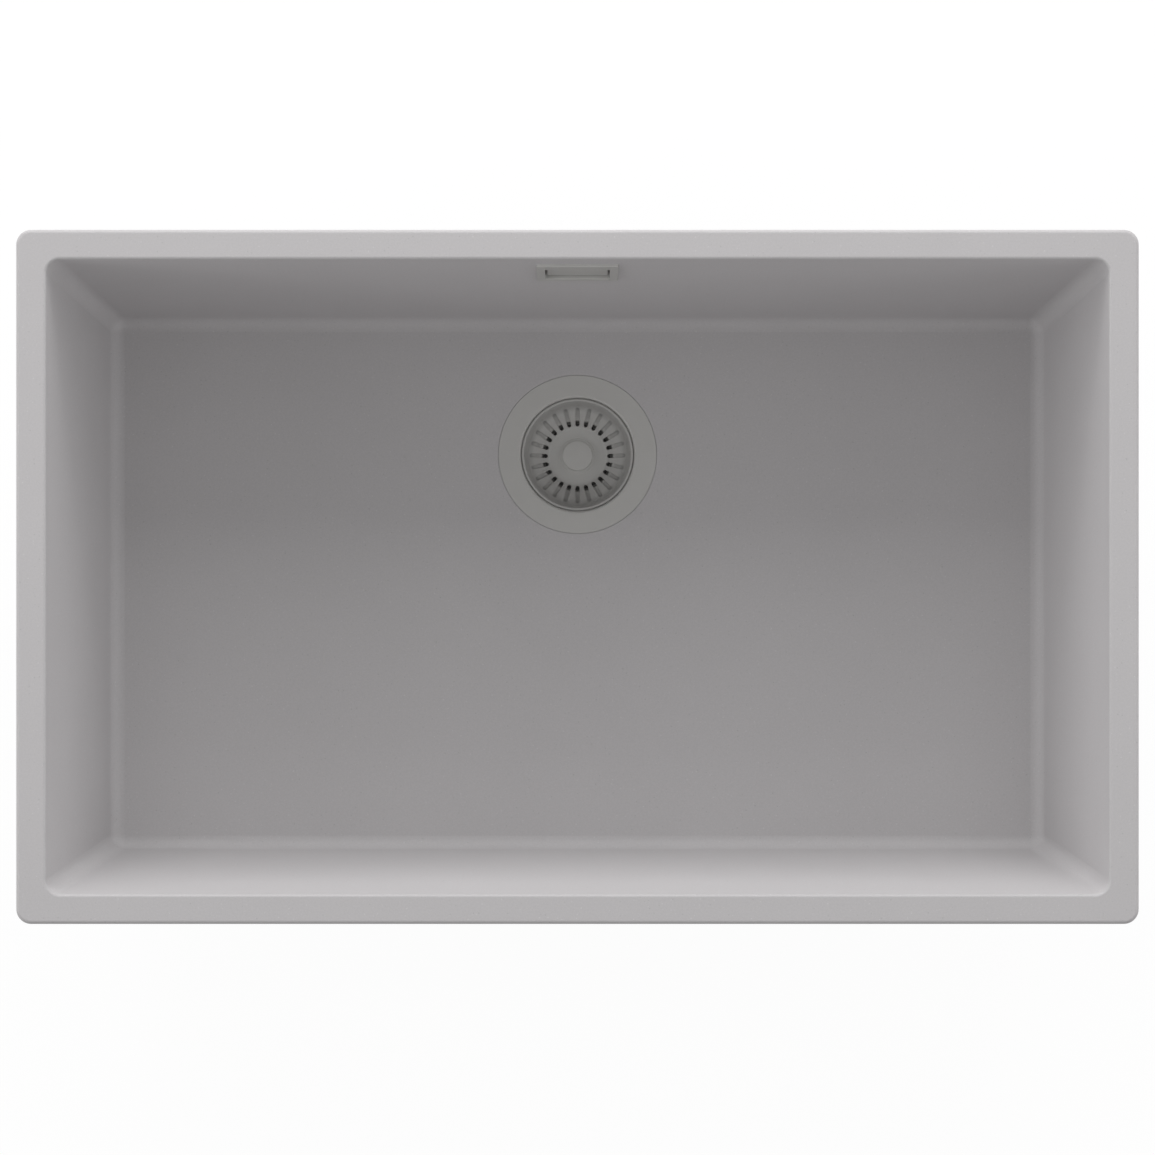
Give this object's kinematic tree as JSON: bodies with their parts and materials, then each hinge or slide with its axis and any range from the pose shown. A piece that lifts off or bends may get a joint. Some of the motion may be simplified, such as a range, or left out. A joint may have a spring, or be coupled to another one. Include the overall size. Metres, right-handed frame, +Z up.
{
  "type": "undermount kitchen sink",
  "caption": "Rectangular single-bowl undermount sink in matte stone composite, with a lift-out strainer basket in its waste and a framed overflow piped to the waste body.",
  "frame": {"origin": "middle of the flat top face of the rim, where it meets the underside of a worktop", "axes": "+X to the right along the long side, +Y towards the back wall with the overflow, +Z up out of the bowl"},
  "size_m": [0.76, 0.47, 0.299],
  "materials": {
    "composite": "matte, fine-grained quartz composite",
    "coated_steel": "satin grey coating on steel",
    "bare_steel": "turned stainless steel",
    "brass": "machined brass",
    "rubber": "matte black rubber",
    "moulded_plastic": "black moulded polypropylene"
  },
  "bodies": {
    "sink": {"sink_bowl": "composite", "clip_inserts": "brass", "waste_flange": "coated_steel", "flange_seal": "rubber", "body_gasket": "rubber", "waste_body": "moulded_plastic", "screw_bush": "brass", "centre_screw": "bare_steel", "overflow_frame": "coated_steel", "overflow_panel": "coated_steel", "overflow_screws": "bare_steel", "overflow_gasket": "rubber", "overflow_housing": "moulded_plastic", "overflow_pipe": "moulded_plastic", "upper_pipe_seal": "rubber", "lower_pipe_seal": "rubber"},
    "catch": {"stem_clip": "bare_steel"},
    "basket": {"basket_cup": "coated_steel", "lift_knob": "coated_steel", "basket_stem": "bare_steel", "seal_washer": "bare_steel", "stopper_seal": "rubber", "stem_nut": "bare_steel"}
  },
  "joints": [
    {"name": "basket_lift", "type": "slide", "parent": "sink", "child": "catch", "axis": [0, 0, 1], "range_m": [0, 0.26]},
    {"name": "basket_turn", "type": "hinge", "parent": "catch", "child": "basket", "pos_m": [0, 0.09344, -0.2384], "axis": [0, 0, 1], "continuous": true}
  ]
}
